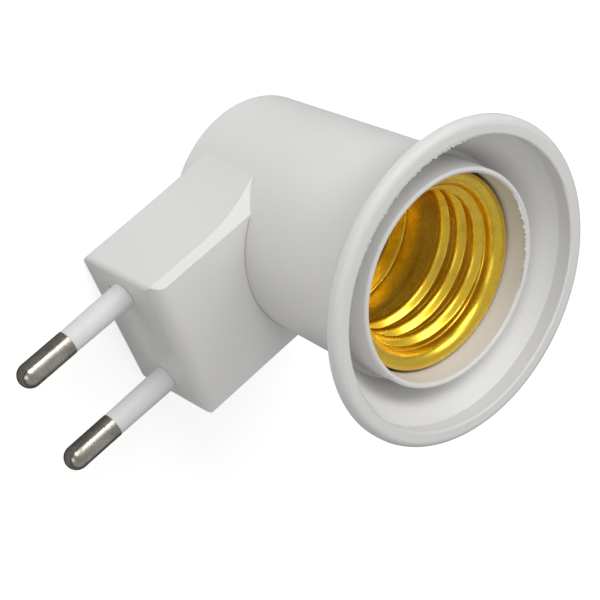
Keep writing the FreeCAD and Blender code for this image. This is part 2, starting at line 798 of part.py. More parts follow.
# Drawn sheet shell: floor ring, narrow neck, plain wall, flared mouth, turned-down rim
def make_screw_shell():
    body = turned("screw_shell", [
        ("shell_hole_radius", "base_top"),
        ("shell_corner_radius", "base_top", "shell_corner", LEFT),
        ("shell_neck_outer", "shell_corner_height"),
        ("shell_neck_outer", "shell_neck_top"),
        ("thread_outer_radius", "shell_wall_start"),
        ("thread_outer_radius", "thread_wall_top"),
        ("shell_outer_radius", "shell_land_start"),
        ("shell_outer_radius", "shell_flare_start", "shell_flare", RIGHT),
        ("shell_rim_middle", "shell_rim_under"),
        ("shell_rim_middle", "shell_curl_height"),
        ("shell_rim_radius", "shell_curl_height"),
        ("shell_rim_radius", "shell_rim_under", "shell_wall", LEFT),
        ("shell_rim_middle", "shell_rim_height", "shell_rim_inner", LEFT),
        ("shell_radius", "shell_flare_start"),
        ("shell_radius", "shell_land_start"),
        ("thread_radius", "thread_wall_top"),
        ("thread_radius", "shell_wall_start"),
        ("shell_neck_radius", "shell_neck_top"),
        ("shell_neck_radius", "shell_corner_height", "shell_inner_corner", RIGHT),
        ("shell_corner_radius", "shell_floor_top"),
        ("shell_hole_radius", "shell_floor_top"),
    ])
    holes = [
        ("shell_rivet_across", "-shell_rivet_along", "rivet_hole_radius"),
        ("-shell_rivet_across", "shell_rivet_along", "rivet_hole_radius"),
    ]
    cut_circles(body, "shell_holes", "XY_Plane", "base_top", holes, "shell_wall", True)
    helix(body, "thread_ridge", [
        ("thread_base_radius", "thread_base_low"),
        ("thread_base_radius", "thread_base_high"),
        ("thread_crest_radius", "thread_crest_high"),
        ("thread_crest_radius", "thread_crest_low"),
    ], "thread_pitch", "thread_turns", "thread_start_angle", True)
    helix(body, "thread_channel", [
        ("channel_mouth_radius", "channel_mouth_low"),
        ("channel_mouth_radius", "channel_mouth_high"),
        ("channel_radius", "channel_floor_high"),
        ("channel_radius", "channel_floor_low"),
    ], "thread_pitch", "thread_turns", "thread_start_angle", False)


def make_rivet(label, x, y, low_head, low_seat, high_seat, high_head):
    turned(label, [
        ("0", low_head),
        ("rivet_head_radius", low_head),
        ("rivet_head_radius", low_seat),
        ("rivet_radius", low_seat),
        ("rivet_radius", high_seat),
        ("rivet_head_radius", high_seat),
        ("rivet_head_radius", high_head),
        ("0", high_head),
    ], x=x, y=y)


# Leaf spring of the centre contact: foot, ramp and pad
def make_contact_spring():
    body = new_body("contact_spring")
    sketch = new_sketch(body, "spring_profile", "XZ_Plane")
    outline(sketch, [
        ("-spring_foot_outer", "base_top"),
        ("-spring_foot_inner", "base_top"),
        ("-spring_pad_half_length", "spring_pad_bottom"),
        ("spring_pad_half_length", "spring_pad_bottom"),
        ("spring_pad_half_length", "spring_pad_top"),
        ("-spring_pad_half_length", "spring_pad_top"),
        ("-spring_foot_inner", "spring_foot_top"),
        ("-spring_foot_outer", "spring_foot_top"),
    ])
    pad(body, sketch, "spring_width", symmetric=True)
    holes = [
        ("-contact_rivet_offset", "0", "rivet_hole_radius"),
        ("0", "0", "button_hole_radius"),
    ]
    cut_circles(body, "spring_holes", "XY_Plane", "base_top", holes, reverse=True)


def make_contact_button():
    turned("contact_button", [
        ("0", "button_head_bottom"),
        ("button_head_radius", "button_head_bottom"),
        ("button_head_radius", "spring_pad_bottom"),
        ("button_shank_radius", "spring_pad_bottom"),
        ("button_shank_radius", "spring_pad_top"),
        ("button_radius", "spring_pad_top", "button_dome_radius", LEFT),
        ("0", "button_top"),
    ])


# Bent brass strip from the head of a plug pin to the underside of the contact base
def make_strap(label, x, end, pin_x, rivet_x, rivet_y):
    body = new_body(label, x=x)
    sketch = new_sketch(body, label + "_profile", "YZ_Plane")
    outline(sketch, [
        ("-carrier_back", "strap_tab_bottom"),
        ("-strap_tab_back", "strap_tab_bottom"),
        ("-strap_tab_back", "strap_level_low"),
        ("-strap_riser_back", "strap_level_low"),
        ("-strap_riser_back", "strap_bottom"),
        (end, "strap_bottom"),
        (end, "strap_top"),
        ("-strap_riser_offset", "strap_top"),
        ("-strap_riser_offset", "strap_level"),
        ("-carrier_back", "strap_level"),
    ])
    pad(body, sketch, "strap_width", symmetric=True)
    tail_hole = [(pin_x, "pin_height", "pin_hole_radius")]
    cut_circles(body, label + "_pin_hole", "XZ_Plane", "carrier_back", tail_hole, "strap_thickness")
    rivet_hole = [(rivet_x, rivet_y, "rivet_hole_radius")]
    cut_circles(body, label + "_rivet_hole", "XY_Plane", "strap_bottom", rivet_hole, reverse=True)


# Plug pin: round tip, bare shank, necked core, flange and riveted tail
def make_pin(label, x):
    turned(label, [
        ("0", "-pin_tip", "pin_radius", LEFT),
        ("pin_radius", "-pin_tip_round"),
        ("pin_radius", "-sleeve_outer"),
        ("pin_core_radius", "-sleeve_outer"),
        ("pin_core_radius", "-cavity_reach"),
        ("pin_flange_radius", "-cavity_reach"),
        ("pin_flange_radius", "-pin_flange_back"),
        ("pin_core_radius", "-pin_flange_back"),
        ("pin_core_radius", "-strap_tab_back"),
        ("pin_head_radius", "-strap_tab_back"),
        ("pin_head_radius", "-pin_end"),
        ("0", "-pin_end"),
    ], x=x, z="pin_height", plane="XY_Plane")


# Insulating sleeve on the root half of each pin
def make_pin_sleeve(label, x):
    turned(label, [
        ("pin_core_radius", "-sleeve_outer"),
        ("sleeve_radius", "-sleeve_outer"),
        ("sleeve_radius", "-sleeve_inner"),
        ("pin_core_radius", "-sleeve_inner"),
    ], x=x, z="pin_height", plane="XY_Plane")


# Block that carries both pins behind the pin wall
def make_pin_carrier():
    body = new_body("pin_carrier")
    sketch = new_sketch(body, "carrier_outline", "XY_Plane", "carrier_bottom")
    outline(sketch, [
        ("-carrier_half_width", "-cavity_reach"),
        ("carrier_half_width", "-cavity_reach"),
        ("carrier_half_width", "-carrier_back"),
        ("-carrier_half_width", "-carrier_back"),
    ])
    pad(body, sketch, "carrier_height")
    for name, radius, length in (
        ("flange_seats", "flange_hole_radius", "pin_flange_thickness"),
        ("core_holes", "pin_hole_radius", "carrier_thickness"),
    ):
        holes = [(side + "pin_offset", "pin_height", radius) for side in ("-", "")]
        cut_circles(body, name, "XZ_Plane", "cavity_reach", holes, length)


def make_all():
    make_housing()
    make_rear_cover()
    make_cover_screw("cover_screw_front", "-front_boss_offset")
    make_cover_screw("cover_screw_rear", "rear_boss_offset")
    make_contact_base()
    make_base_screw("base_screw_front", "-base_screw_offset")
    make_base_screw("base_screw_rear", "base_screw_offset")
    make_screw_shell()
    make_rivet("shell_rivet_left", "-shell_rivet_across", "shell_rivet_along",
               "base_rivet_low", "well_floor_height", "shell_floor_top", "shell_rivet_top")
    make_rivet("shell_rivet_right", "shell_rivet_across", "-shell_rivet_along",
               "strap_rivet_low", "strap_bottom", "shell_floor_top", "shell_rivet_top")
    make_contact_spring()
    make_contact_button()
    make_rivet("contact_rivet", "-contact_rivet_offset", "0",
               "strap_rivet_low", "strap_bottom", "spring_foot_top", "spring_rivet_top")
    make_strap("live_strap", "-strap_middle", "live_strap_end",
               "live_pin_across", "live_hole_across", "0")
    make_strap("neutral_strap", "strap_middle", "-neutral_strap_end",
               "neutral_pin_across", "neutral_hole_across", "-shell_rivet_along")
    for side, x in (("left", "-pin_offset"), ("right", "pin_offset")):
        make_pin("pin_" + side, x)
        make_pin_sleeve("pin_sleeve_" + side, x)
    make_pin_carrier()


def check_and_export():
    doc.recompute()
    for item in doc.Objects:
        if "Invalid" in item.State or "Error" in item.State:
            raise RuntimeError(f"{item.Name} failed: {item.State}")
    bodies = [item for item in doc.Objects if item.TypeId == "PartDesign::Body"]
    for body in bodies:
        if body.Shape.isNull() or not body.Shape.isValid():
            raise RuntimeError(f"{body.Label} has no valid shape")
        if len(body.Shape.Solids) != 1:
            raise RuntimeError(f"{body.Label} has {len(body.Shape.Solids)} solids")
    for body in bodies:
        body.Shape.exportStep(f"parts/{body.Label}.step")
        print(f"{body.Label}: {body.Shape.Volume:.2f} mm3")


fill_sheet()
make_all()
check_and_export()
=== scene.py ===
# Plug-in lamp socket adapter: dresses the fixed frame with detailed pieces, finishes and a studio.
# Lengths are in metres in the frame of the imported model, and in millimetres where MM multiplies them.
import math
import random
from collections import namedtuple

import bpy
from mathutils import Euler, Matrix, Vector


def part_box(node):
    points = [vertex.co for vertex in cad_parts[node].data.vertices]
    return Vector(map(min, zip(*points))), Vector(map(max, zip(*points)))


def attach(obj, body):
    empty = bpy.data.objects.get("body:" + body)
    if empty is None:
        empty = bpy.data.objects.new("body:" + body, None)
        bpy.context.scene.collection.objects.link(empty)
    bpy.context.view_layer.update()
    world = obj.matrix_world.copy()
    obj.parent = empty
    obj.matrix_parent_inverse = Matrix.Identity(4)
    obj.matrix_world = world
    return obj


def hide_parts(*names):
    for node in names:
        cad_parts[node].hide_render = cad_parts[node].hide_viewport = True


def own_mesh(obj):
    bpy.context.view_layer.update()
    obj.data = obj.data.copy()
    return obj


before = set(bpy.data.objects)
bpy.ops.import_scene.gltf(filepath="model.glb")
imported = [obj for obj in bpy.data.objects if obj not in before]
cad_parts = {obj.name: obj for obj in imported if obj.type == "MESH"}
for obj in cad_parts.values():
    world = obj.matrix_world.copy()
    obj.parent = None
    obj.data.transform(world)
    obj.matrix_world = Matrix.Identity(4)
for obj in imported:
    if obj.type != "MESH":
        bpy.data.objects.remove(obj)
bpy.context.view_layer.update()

bl_info = {
    "name": "Lamp socket adapter",
    "version": (1, 0, 0),
    "blender": (4, 5, 0),
    "location": "View3D > Sidebar > Adapter",
    "description": "Details, finishes and a studio for a plug-in lamp socket adapter",
    "category": "Object",
}

MM = 0.001


# Sizes and colours that a user would change
def length(name, description, size, soft_max=0.1):
    return bpy.props.FloatProperty(
        name=name, description=description, default=size * MM, min=0.0, soft_max=soft_max,
        precision=5, unit="LENGTH", subtype="DISTANCE")


def colour(name, description, shade):
    return bpy.props.FloatVectorProperty(
        name=name, description=description, default=shade, size=3, min=0.0, max=1.0,
        subtype="COLOR")


def share(name, description, amount, top=1.0):
    return bpy.props.FloatProperty(
        name=name, description=description, default=amount, min=0.0, soft_max=top,
        subtype="FACTOR")


class ShellSizes(bpy.types.PropertyGroup):
    hole_radius: length("Floor hole", "Radius of the hole in the shell's floor", 9.8)
    floor_height: length("Floor height", "Height of the floor's upper face", 21.8)
    corner_radius: length("Floor corner", "Round between the floor and the neck", 1.0)
    neck_radius: length("Neck radius", "Inner radius of the plain neck", 13.1)
    neck_top: length("Neck top", "Height where the neck ends", 26.2)
    wall_radius: length("Wall radius", "Inner radius of the threaded wall", 13.25)
    wall_foot: length("Wall foot", "Height where the threaded wall starts", 26.9)
    wall_top: length("Wall top", "Height where the flare starts", 39.8)
    land_radius: length("Land radius", "Inner radius of the plain entry over the thread", 13.4)
    land: length("Land", "Length of the plain entry over the thread", 0.7)
    flare_radius: length("Flare round", "Round of the rolled rim's inside", 1.5)
    rim_radius: length("Rim radius", "Outer radius of the rolled rim", 15.25)
    rim_drop: length("Rim drop", "How far the rolled rim turns down", 1.0)
    sheet: length("Sheet", "Thickness of the brass sheet", 0.4)
    pitch: length("Thread pitch", "Rise of the thread in one turn", 3.629)
    thread_start: length("Thread start", "Height of the first ridge ahead of +X", 29.917)
    thread_depth: length("Thread depth", "How far the ridge stands in", 1.15)
    thread_half: length("Thread half width", "Half the width of a ridge", 1.35)
    thread_fade: length("Thread fade", "Height over which a ridge dies out under the land", 0.5)


class FastenerSizes(bpy.types.PropertyGroup):
    base_screw_radius: length("Base screw", "Shank radius of a base screw", 0.95)
    base_screw_head: length("Base screw head", "Head radius of a base screw", 1.8)
    base_screw_tall: length("Base screw head height", "Height of a base screw's head", 1.1)
    base_screw_slot: length("Base screw slot", "Depth of a base screw's slot", 0.6)
    cover_screw_radius: length("Cover screw", "Shank radius of a cover screw", 1.1)
    cover_screw_head: length("Cover screw head", "Head radius of a cover screw", 2.1)
    cover_screw_tall: length("Cover screw head height", "Height of a cover screw's head", 1.2)
    cover_screw_slot: length("Cover screw slot", "Depth of a cover screw's slot", 0.5)
    screw_pitch: length("Screw pitch", "Thread pitch of the small screws", 0.7)
    slot_width: length("Slot", "Width of a screwdriver slot", 0.5)
    rivet_shank: length("Rivet shank", "Shank radius of a rivet", 0.9)
    rivet_crown: length("Rivet crown", "Height of the round on a rivet's upset head", 0.4)


class ContactSizes(bpy.types.PropertyGroup):
    leaf_sheet: length("Leaf sheet", "Thickness of the contact leaf", 0.4)
    leaf_edge: length("Leaf edge", "Width of the bevel along the leaf's edges and its gap at both ends", 0.1)
    leaf_bend: length("Leaf bend", "Height of the soft bends at both ends of the leaf's slope", 0.12)
    sleeve_tip_radius: length("Sleeve tip", "Radius of a sleeve beside the metal", 1.95)
    sleeve_root_radius: length("Sleeve root", "Radius of a sleeve beside the block", 2.07)
    sleeve_bore: length("Sleeve bore", "Radius of the pin inside a sleeve", 1.47)
    sleeve_hidden: length("Sleeve inside", "Radius of a sleeve inside the block", 1.82)
    block_reach: length("Block reach", "How far from the axis a sleeve enters the block", 32.1)


class FinishColours(bpy.types.PropertyGroup):
    white: colour("White plastic", "Moulded plastic of the holder", (0.80, 0.795, 0.785))
    sleeve: colour("Sleeve plastic", "Plastic of the pin sleeves", (0.80, 0.80, 0.80))
    base: colour("Base plastic", "Plastic of the contact base", (0.70, 0.66, 0.58))
    shell: colour("Shell brass", "Yellow brass of the screw shell", (0.95, 0.655, 0.03))
    rivet: colour("Rivet brass", "Brass of the rivets, the leaf and the button", (0.83, 0.60, 0.26))
    strap: colour("Strap brass", "Brass of the current straps", (0.78, 0.54, 0.24))
    nickel: colour("Nickel", "Nickel plate of the pins", (0.53, 0.495, 0.45))
    steel: colour("Steel", "Zinc plate of the screws", (0.62, 0.63, 0.65))


class StudioSettings(bpy.types.PropertyGroup):
    floor_reach: length("Floor reach", "Half the width of the floor", 3000.0, 10.0)
    key_power: share("Key light", "Strength of the side light", 1.0, 10.0)
    fill_power: share("Fill lights", "Strength of the front light and the light beside the pins", 1.0, 10.0)
    sky: share("Room light", "Strength of the room around", 0.475, 4.0)


# Steps between the rings of a turned piece, and the distance at which points are welded
COARSE = 0.6 * MM
MIDDLE = 0.3 * MM
CLOSE = 0.25 * MM
FINE = 0.2 * MM
WELD = 0.001 * MM


# Mesh work, as by hand
def nothing_selected():
    if bpy.context.object and bpy.context.object.mode != "OBJECT":
        bpy.ops.object.mode_set(mode="OBJECT")
    bpy.ops.object.select_all(action="DESELECT")


def only(piece):
    nothing_selected()
    piece.select_set(True)
    bpy.context.view_layer.objects.active = piece


def editing(kind, action):
    bpy.ops.object.mode_set(mode="EDIT")
    bpy.ops.mesh.select_mode(type=kind)
    bpy.ops.mesh.select_all(action=action)


def faces_outwards():
    bpy.ops.mesh.select_all(action="SELECT")
    bpy.ops.mesh.normals_make_consistent(inside=False)
    bpy.ops.object.mode_set(mode="OBJECT")


# Rings drawn up from a circle, from one closed or open end to the other
def turned(name, rings, segments, closed=True):
    nothing_selected()
    radius, height = rings[0]
    bpy.ops.mesh.primitive_circle_add(
        vertices=segments, radius=radius, fill_type="NGON" if closed else "NOTHING",
        location=(0, 0, height))
    piece = bpy.context.object
    piece.name = name
    bpy.ops.object.transform_apply(location=True, rotation=True, scale=True)
    editing("EDGE", "SELECT")
    for next_radius, next_height in rings[1:]:
        bpy.ops.mesh.extrude_edges_move(
            TRANSFORM_OT_translate={"value": (0, 0, next_height - height)})
        growth = next_radius / radius
        bpy.ops.transform.resize(value=(growth, growth, 1), center_override=(0, 0, next_height))
        radius, height = next_radius, next_height
    if closed:
        bpy.ops.mesh.edge_face_add()
    bpy.ops.mesh.select_all(action="SELECT")
    bpy.ops.mesh.remove_doubles(threshold=WELD)
    faces_outwards()
    return piece


def finish_with(piece, kind, **settings):
    only(piece)
    modifier = piece.modifiers.new(kind.title(), kind)
    for key, value in settings.items():
        setattr(modifier, key, value)
    bpy.ops.object.modifier_apply(modifier=modifier.name)


def smooth(piece, angle):
    only(piece)
    bpy.ops.object.shade_smooth_by_angle(angle=math.radians(angle))


def moved(piece, place, turn=(0, 0, 0)):
    only(piece)
    piece.location = place
    piece.rotation_euler = turn
    bpy.ops.object.transform_apply(location=True, rotation=True, scale=True)


# Points round a quarter circle, from one angle to another
def bow(centre_radius, centre_height, size, first, last, steps):
    points = []
    for step in range(steps + 1):
        angle = math.radians(first + (last - first) * step / steps)
        points.append((centre_radius + size * math.cos(angle), centre_height + size * math.sin(angle)))
    return points


# Points at some angles on the round of a head, above the height where it starts
def crown_points(head, foot, crown, angles):
    return [(head * math.cos(math.radians(a)), foot + crown * math.sin(math.radians(a))) for a in angles]


def even_rings(start, end, gap):
    (r0, z0), (r1, z1) = start, end
    count = max(1, round(math.dist(start, end) / gap))
    return [(r0 + (r1 - r0) * k / count, z0 + (z1 - z0) * k / count) for k in range(1, count + 1)]


def ease(amount):
    amount = min(1.0, max(0.0, amount))
    return amount * amount * (3 - 2 * amount)


def angle_round(point):
    return math.degrees(math.atan2(point.y, point.x)) % 360


def set_radius(point, radius):
    factor = radius / math.hypot(point.x, point.y)
    point.x, point.y = point.x * factor, point.y * factor


# Helical ridge: height ahead of +X, pitch, depth, half width, then the turns where it starts, ends and fades
Ridge = namedtuple("Ridge", "height pitch depth half first last fade")


# Presses a ridge into or out of a wall that stands round Z, and lets it die out at the low and high end
def press_thread(piece, ridge, low, high, inward, soft=0.01 * MM):
    for vertex in piece.data.vertices:
        x, y, z = vertex.co
        if not low <= z <= high:
            continue
        limit = ease((z - low) / soft) * ease((high - z) / soft)
        turn = (math.atan2(y, x) / math.tau) % 1.0
        lift = 0.0
        for count in range(math.floor(ridge.first) - 1, math.ceil(ridge.last) + 1):
            along = count + turn
            away = abs(z - ridge.height - ridge.pitch * along) / ridge.half
            if away < 1 and ridge.first <= along <= ridge.last:
                ends = ease((along - ridge.first) / ridge.fade) * ease((ridge.last - along) / ridge.fade)
                lift = max(lift, ridge.depth * ends * limit * 0.5 * (1 + math.cos(math.pi * away)))
        if lift:
            set_radius(vertex.co, math.hypot(x, y) + (-lift if inward else lift))


# Every new piece rides the holder, in place of a plain node or as an addition
def give(piece, slot, *nodes):
    piece.data.materials.clear()
    piece.data.materials.append(FINISHES[slot])
    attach(piece, "holder")
    if nodes:
        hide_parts(*nodes)


# Shader work
def node(tree, kind, place=(0, 0), **settings):
    made = tree.nodes.new(kind)
    made.location = place
    for key, value in settings.items():
        setattr(made, key, value)
    return made


def wire(tree, source, target):
    tree.links.new(source, target)


def feed(tree, target, source):
    if isinstance(source, (int, float, tuple, list)):
        target.default_value = source
    else:
        wire(tree, source, target)


def sums(tree, operation, first, second=0.0, third=None, clamp=False):
    made = node(tree, "ShaderNodeMath", operation=operation, use_clamp=clamp)
    feed(tree, made.inputs[0], first)
    feed(tree, made.inputs[1], second)
    if third is not None:
        feed(tree, made.inputs[2], third)
    return made.outputs[0]


def ranged(tree, source, low, high, bottom=0.0, top=1.0, smooth_ends=False):
    made = node(tree, "ShaderNodeMapRange", clamp=True)
    if smooth_ends:
        made.interpolation_type = "SMOOTHSTEP"
    for label, value in (("Value", source), ("From Min", low), ("From Max", high),
                         ("To Min", bottom), ("To Max", top)):
        feed(tree, made.inputs[label], value)
    return made.outputs["Result"]


# One at nought and softly down to nought at the given reach
def near(tree, away, reach):
    return ranged(tree, away, 0.0, reach, 1.0, 0.0, True)


def blended(tree, amount, first, second):
    made = node(tree, "ShaderNodeMix", data_type="RGBA")
    feed(tree, made.inputs["Factor"], amount)
    feed(tree, made.inputs["A"], first)
    feed(tree, made.inputs["B"], second)
    return made.outputs["Result"]


def axes(tree, place):
    parts = node(tree, "ShaderNodeSeparateXYZ")
    wire(tree, place, parts.inputs[0])
    return parts.outputs


def joined(tree, x, y, z):
    made = node(tree, "ShaderNodeCombineXYZ")
    for socket, value in zip(made.inputs, (x, y, z)):
        feed(tree, socket, value)
    return made.outputs[0]


def far(tree, first, second):
    squares = sums(tree, "ADD", sums(tree, "MULTIPLY", first, first), sums(tree, "MULTIPLY", second, second))
    return sums(tree, "SQRT", squares)


def cloud(tree, place, scale, detail=2.0, roughness=0.5, distortion=0.0):
    made = node(tree, "ShaderNodeTexNoise")
    for label, value in (("Vector", place), ("Scale", scale), ("Detail", detail),
                         ("Roughness", roughness), ("Distortion", distortion)):
        feed(tree, made.inputs[label], value)
    return made.outputs["Fac"]


SOCKET_KINDS = {"Place": "NodeSocketVector", "Colour": "NodeSocketColor", "Stain": "NodeSocketColor"}


def new_effect(name, takes, gives):
    tree = bpy.data.node_groups.new(name, "ShaderNodeTree")
    for label, start in takes.items():
        socket = tree.interface.new_socket(
            name=label, in_out="INPUT", socket_type=SOCKET_KINDS.get(label, "NodeSocketFloat"))
        if start is not None:
            socket.default_value = start
    for label in gives:
        tree.interface.new_socket(
            name=label, in_out="OUTPUT", socket_type=SOCKET_KINDS.get(label, "NodeSocketFloat"))
    inside = node(tree, "NodeGroupInput", (-900, 0))
    outside = node(tree, "NodeGroupOutput", (900, 0))
    return tree, inside.outputs, outside.inputs


# Faint flow clouding, orange peel and gloss changes of moulded plastic
def moulded_skin():
    tree, takes, gives = new_effect(
        "moulded_skin",
        {"Place": None, "Colour": (0.8, 0.8, 0.8, 1), "Peel": 1.0, "Gloss": 0.32},
        ("Colour", "Roughness", "Height"))
    flow_tone, fine_tone = 0.05, 0.02
    flow_gloss, fine_gloss = 0.16, 0.06
    speck_height = 0.3
    flow = cloud(tree, takes["Place"], scale=45.0, detail=3.0, roughness=0.55, distortion=0.4)
    fine = cloud(tree, takes["Place"], scale=900.0)
    speck = cloud(tree, takes["Place"], scale=2600.0, detail=1.0)
    shade = sums(tree, "MULTIPLY_ADD", flow, flow_tone, 1 - flow_tone / 2)
    mottle = sums(tree, "MULTIPLY_ADD", fine, fine_tone, -fine_tone / 2)
    scaled = node(tree, "ShaderNodeVectorMath", operation="SCALE")
    wire(tree, takes["Colour"], scaled.inputs[0])
    wire(tree, sums(tree, "ADD", shade, mottle), scaled.inputs["Scale"])
    wire(tree, scaled.outputs[0], gives["Colour"])
    rough = sums(tree, "MULTIPLY_ADD", flow, flow_gloss, takes["Gloss"])
    wire(tree, sums(tree, "MULTIPLY_ADD", fine, fine_gloss, rough, clamp=True), gives["Roughness"])
    peel = sums(tree, "MULTIPLY_ADD", speck, speck_height, fine)
    wire(tree, sums(tree, "MULTIPLY", peel, takes["Peel"]), gives["Height"])
    return tree


# Fine lines that run round Z on drawn or turned metal, with short scratches and stains
def drawn_lines():
    tree, takes, gives = new_effect(
        "drawn_lines",
        {"Place": None, "Colour": (0.9, 0.6, 0.1, 1), "Stain": (0.5, 0.3, 0.1, 1), "Lines": 1.0,
         "Gloss": 0.25, "Mottle": 0.2},
        ("Colour", "Roughness", "Height"))
    across_scale, round_scale = 2600.0, 1.3
    broad_gloss, spot_gloss, gloss_drop = 0.16, 0.14, 0.08
    scuff_height = 0.3
    x, y, z = axes(tree, takes["Place"])
    rolled = joined(tree, sums(tree, "MULTIPLY", far(tree, x, y), across_scale),
                    sums(tree, "MULTIPLY", sums(tree, "ARCTAN2", y, x), round_scale),
                    sums(tree, "MULTIPLY", z, across_scale))
    lines = cloud(tree, rolled, scale=1.0, detail=3.0, roughness=0.6)
    broad = cloud(tree, rolled, scale=0.28)
    scuffs = cloud(tree, takes["Place"], scale=1500.0, detail=4.0, roughness=0.65, distortion=1.5)
    patches = cloud(tree, takes["Place"], scale=420.0, detail=4.0, roughness=0.62, distortion=0.6)
    spots = ranged(tree, patches, low=0.45, high=0.72)
    stained = blended(tree, sums(tree, "MULTIPLY", spots, takes["Mottle"]), takes["Colour"], takes["Stain"])
    wire(tree, stained, gives["Colour"])
    rough = sums(tree, "MULTIPLY_ADD", broad, broad_gloss, takes["Gloss"])
    rough = sums(tree, "MULTIPLY_ADD", spots, spot_gloss, rough)
    wire(tree, sums(tree, "SUBTRACT", rough, gloss_drop, clamp=True), gives["Roughness"])
    scratches = sums(tree, "MULTIPLY", scuffs, scuff_height)
    wire(tree, sums(tree, "MULTIPLY_ADD", lines, takes["Lines"], scratches), gives["Height"])
    return tree


# Rubbed and dusty places, as a mask
def dust():
    tree, takes, gives = new_effect("dust", {"Place": None, "Amount": 0.3}, ("Mask",))
    patches = cloud(tree, takes["Place"], scale=160.0, detail=5.0, roughness=0.6, distortion=0.8)
    grit = cloud(tree, takes["Place"], scale=3200.0, roughness=0.6)
    mixed = sums(tree, "MULTIPLY", ranged(tree, patches, low=0.45, high=0.75),
                 ranged(tree, grit, low=0.4, high=0.7))
    wire(tree, sums(tree, "MULTIPLY", mixed, takes["Amount"], clamp=True), gives["Mask"])
    return tree


EFFECTS = {"moulded_skin": moulded_skin, "drawn_lines": drawn_lines, "dust": dust}


def placed(tree, name, **values):
    made = node(tree, "ShaderNodeGroup")
    made.node_tree = bpy.data.node_groups.get(name) or EFFECTS[name]()
    for label, value in values.items():
        feed(tree, made.inputs[label], value)
    return made.outputs


def blank_finish(name):
    finish = bpy.data.materials.new(name)
    finish.use_nodes = True
    tree = finish.node_tree
    shader = tree.nodes["Principled BSDF"]
    where = node(tree, "ShaderNodeTexCoord", (-1200, 0)).outputs["Object"]
    return finish, tree, shader, where


def relief_on(tree, shader, height, distance):
    bump = node(tree, "ShaderNodeBump", (-200, -300))
    bump.inputs["Strength"].default_value = 1.0
    bump.inputs["Distance"].default_value = distance
    wire(tree, height, bump.inputs["Height"])
    wire(tree, bump.outputs["Normal"], shader.inputs["Normal"])


def toned(shade, amount=1.0):
    return (shade[0] * amount, shade[1] * amount, shade[2] * amount, 1.0)


# Painted shade along the crease where the top of the plug block runs into the barrel, whose radius grows
# with height
BARREL_FOOT_RADIUS = 16.5 * MM
BARREL_TAPER = 0.95 / 29.5
BLOCK_TOP = 18.4 * MM
CREASE_WIDTH = 0.22 * MM
CREASE_HALF, CREASE_END = 11.6 * MM, 12.3 * MM
CREASE_BACK, CREASE_FRONT = -2.0 * MM, -6.0 * MM


# Mask of a thin line of painted shade in that crease
def root_crease_shade(tree, where):
    x, y, z = axes(tree, where)
    wall = sums(tree, "MULTIPLY_ADD", z, BARREL_TAPER, BARREL_FOOT_RADIUS)
    away = sums(tree, "ABSOLUTE", sums(tree, "SUBTRACT", far(tree, x, y), wall))
    level = sums(tree, "ABSOLUTE", sums(tree, "SUBTRACT", z, BLOCK_TOP))
    line = sums(tree, "MULTIPLY", near(tree, away, CREASE_WIDTH), near(tree, level, CREASE_WIDTH))
    across = ranged(tree, sums(tree, "ABSOLUTE", x), CREASE_HALF, CREASE_END, 1.0, 0.0, True)
    along = ranged(tree, y, CREASE_BACK, CREASE_FRONT)
    return sums(tree, "MULTIPLY", sums(tree, "MULTIPLY", line, across), along)


# Dark specks in the moulding of the pin face: across, height and size of each in millimetres
PIN_FACE_SPECKS = ((-8.85, 5.22, 0.5), (5.38, 4.93, 0.38), (11.87, 8.47, 0.55), (11.2, 7.3, 0.36))
PIN_FACE_START, PIN_FACE_END = -30.2 * MM, -29.5 * MM


def pin_face_specks(tree, where):
    x, y, z = axes(tree, where)
    found = 0.0
    for across, height, size in PIN_FACE_SPECKS:
        away = far(tree, sums(tree, "SUBTRACT", x, across * MM), sums(tree, "SUBTRACT", z, height * MM))
        found = sums(tree, "MAXIMUM", near(tree, away, size * MM), found)
    return sums(tree, "MULTIPLY", found, ranged(tree, y, PIN_FACE_START, PIN_FACE_END, 1.0, 0.0))


# Marks on the plastic, painted crease shade and moulding specks: where each is, how strongly it shows, and
# its tone as a share of the plastic's own
SHADE_AND_SPECK_MARKS = ((root_crease_shade, 0.55, 0.45), (pin_face_specks, 0.75, 0.3))
GRIME_STRENGTH, GRIME_TONE, GRIME_ROUGHNESS = 0.25, 0.8, 0.2
PEEL_HEIGHT = 0.03 * MM


def plastic_finish(name, shade, gloss, peel, grime, marks=()):
    finish, tree, shader, where = blank_finish(name)
    skin = placed(tree, "moulded_skin", Place=where, Colour=toned(shade), Peel=peel, Gloss=gloss)
    mask = placed(tree, "dust", Place=where, Amount=grime)["Mask"]
    grimy = sums(tree, "MULTIPLY", mask, GRIME_STRENGTH)
    tone = blended(tree, grimy, skin["Colour"], toned(shade, GRIME_TONE))
    # Each mark darkens the colour: the crease is painted shade, the pin-face specks are the plastic's own
    for mark, strength, depth in marks:
        tone = blended(tree, sums(tree, "MULTIPLY", mark(tree, where), strength), tone, toned(shade, depth))
    wire(tree, tone, shader.inputs["Base Color"])
    rough = sums(tree, "MULTIPLY_ADD", mask, GRIME_ROUGHNESS, skin["Roughness"], clamp=True)
    wire(tree, rough, shader.inputs["Roughness"])
    relief_on(tree, shader, skin["Height"], PEEL_HEIGHT)
    shader.inputs["IOR"].default_value = 1.5
    return finish


# A pattern that runs round Z is turned to run round both pins, whose axes lie along Y
PIN_ASIDE, PIN_HEIGHT = 9.0 * MM, 9.0 * MM
DUST_AMOUNT, DUST_ROUGHNESS, DUST_METAL = 0.3, 0.25, -0.3


def round_pins(tree, where):
    x, y, z = axes(tree, where)
    aside = sums(tree, "SUBTRACT", sums(tree, "ABSOLUTE", x), PIN_ASIDE)
    return joined(tree, aside, sums(tree, "SUBTRACT", z, PIN_HEIGHT), y)


